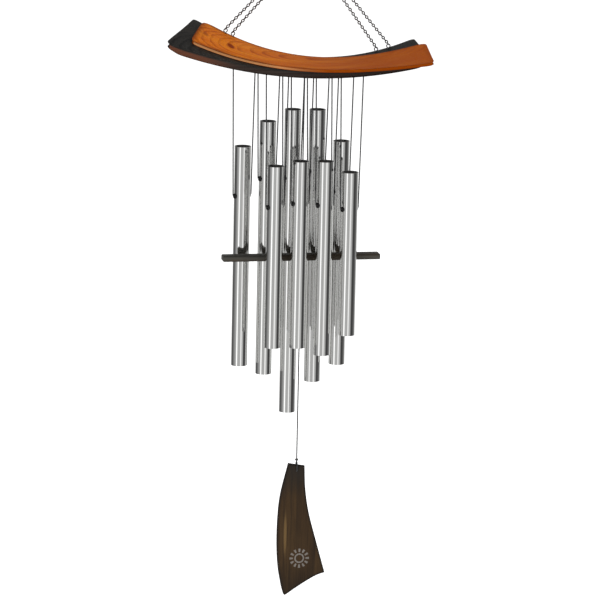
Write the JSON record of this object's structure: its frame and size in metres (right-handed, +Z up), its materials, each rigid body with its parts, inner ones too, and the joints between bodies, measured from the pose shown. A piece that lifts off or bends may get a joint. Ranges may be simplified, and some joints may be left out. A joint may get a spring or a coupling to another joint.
{
  "type": "wind chime",
  "caption": "Garden wind chime: crossed curved boards on chains carry hanging metal tubes around a long bar striker with a wooden sail.",
  "frame": {"origin": "inside top of the hanging ring, where a hook or nail carries the chime", "axes": "+Z up, +X along the boards to the right seen from the front, +Y to the back"},
  "size_m": [0.3163, 0.1347, 0.8144],
  "materials": {
    "steel": "dull zinc plated steel: ring, chains, eyes and screws",
    "black_wood": "black stained wood, satin, with brown edges where the stain is thin",
    "honey_wood": "honey orange stained wood with a satin varnish",
    "aluminium": "bright polished tube",
    "rubber": "matt black",
    "cord": "dark grey laid polyester cord",
    "dark_wood": "dark walnut stained wood, satin"
  },
  "bodies": {
    "ring": {"hanging_ring": "steel"},
    "canopy": {"base_board": "black_wood", "upper_board": "honey_wood", "board_screw_1": "steel", "board_screw_2": "steel", "board_screw_3": "steel", "chain_l1": "steel", "chain_l2": "steel", "chain_r1": "steel", "chain_r2": "steel", "chain_eye_l1": "steel", "chain_eye_l2": "steel", "chain_eye_r1": "steel", "chain_eye_r2": "steel", "top_loop_back_1": "cord", "top_loop_back_2": "cord", "top_loop_back_3": "cord", "top_loop_back_4": "cord", "top_loop_back_5": "cord", "top_loop_front_1": "cord", "top_loop_front_2": "cord", "top_loop_front_3": "cord", "top_loop_front_4": "cord", "striker_anchor": "cord"},
    "tube_back_1": {"tube_back_1": "aluminium", "sleeve_back_1": "rubber", "sling_back_1": "cord"},
    "tube_back_2": {"tube_back_2": "aluminium", "sleeve_back_2": "rubber", "sling_back_2": "cord"},
    "tube_back_3": {"tube_back_3": "aluminium", "sleeve_back_3": "rubber", "sling_back_3": "cord"},
    "tube_back_4": {"tube_back_4": "aluminium", "sleeve_back_4": "rubber", "sling_back_4": "cord"},
    "tube_back_5": {"tube_back_5": "aluminium", "sleeve_back_5": "rubber", "sling_back_5": "cord"},
    "tube_front_1": {"tube_front_1": "aluminium", "sleeve_front_1": "rubber", "sling_front_1": "cord"},
    "tube_front_2": {"tube_front_2": "aluminium", "sleeve_front_2": "rubber", "sling_front_2": "cord"},
    "tube_front_3": {"tube_front_3": "aluminium", "sleeve_front_3": "rubber", "sling_front_3": "cord"},
    "tube_front_4": {"tube_front_4": "aluminium", "sleeve_front_4": "rubber", "sling_front_4": "cord"},
    "striker": {"striker": "dark_wood", "striker_cord": "cord", "striker_knot": "cord"},
    "sail_line": {"sail_cord": "cord"},
    "sail": {"sail": "dark_wood", "sail_loop": "cord", "sail_knot": "cord"}
  },
  "joints": [
    {"name": "canopy_swing", "type": "hinge", "parent": "ring", "child": "canopy", "pos_m": [0, 0, -0.0245], "axis": [1, 0, 0], "range_deg": [-12, 12]},
    {"name": "tube_back_1_swing", "type": "hinge", "parent": "canopy", "child": "tube_back_1", "pos_m": [-0.068, 0.028, -0.15576], "axis": [1, 0, 0], "range_deg": [-2, 12]},
    {"name": "tube_back_2_swing", "type": "hinge", "parent": "canopy", "child": "tube_back_2", "pos_m": [-0.038, 0.028, -0.16286], "axis": [1, 0, 0], "range_deg": [-2, 12]},
    {"name": "tube_back_3_swing", "type": "hinge", "parent": "canopy", "child": "tube_back_3", "pos_m": [-0.008, 0.028, -0.16698], "axis": [1, 0, 0], "range_deg": [-2, 12]},
    {"name": "tube_back_4_swing", "type": "hinge", "parent": "canopy", "child": "tube_back_4", "pos_m": [0.022, 0.028, -0.16813], "axis": [1, 0, 0], "range_deg": [-2, 12]},
    {"name": "tube_back_5_swing", "type": "hinge", "parent": "canopy", "child": "tube_back_5", "pos_m": [0.052, 0.028, -0.16808], "axis": [1, 0, 0], "range_deg": [-2, 12]},
    {"name": "tube_front_1_swing", "type": "hinge", "parent": "canopy", "child": "tube_front_1", "pos_m": [-0.038, -0.028, -0.16611], "axis": [1, 0, 0], "range_deg": [-12, 2]},
    {"name": "tube_front_2_swing", "type": "hinge", "parent": "canopy", "child": "tube_front_2", "pos_m": [-0.008, -0.028, -0.1684], "axis": [1, 0, 0], "range_deg": [-12, 2]},
    {"name": "tube_front_3_swing", "type": "hinge", "parent": "canopy", "child": "tube_front_3", "pos_m": [0.022, -0.028, -0.16862], "axis": [1, 0, 0], "range_deg": [-12, 2]},
    {"name": "tube_front_4_swing", "type": "hinge", "parent": "canopy", "child": "tube_front_4", "pos_m": [0.052, -0.028, -0.16852], "axis": [1, 0, 0], "range_deg": [-12, 2]},
    {"name": "striker_swing", "type": "hinge", "parent": "canopy", "child": "striker", "pos_m": [0, 0, -0.1673], "axis": [1, 0, 0], "range_deg": [-2, 2]},
    {"name": "sail_line_swing", "type": "hinge", "parent": "striker", "child": "sail_line", "pos_m": [0, 0, -0.40007], "axis": [1, 0, 0], "range_deg": [-9, 4.5]},
    {"name": "sail_turn", "type": "hinge", "parent": "sail_line", "child": "sail", "pos_m": [0, 0, -0.6405], "axis": [0, 0, 1], "continuous": true}
  ]
}
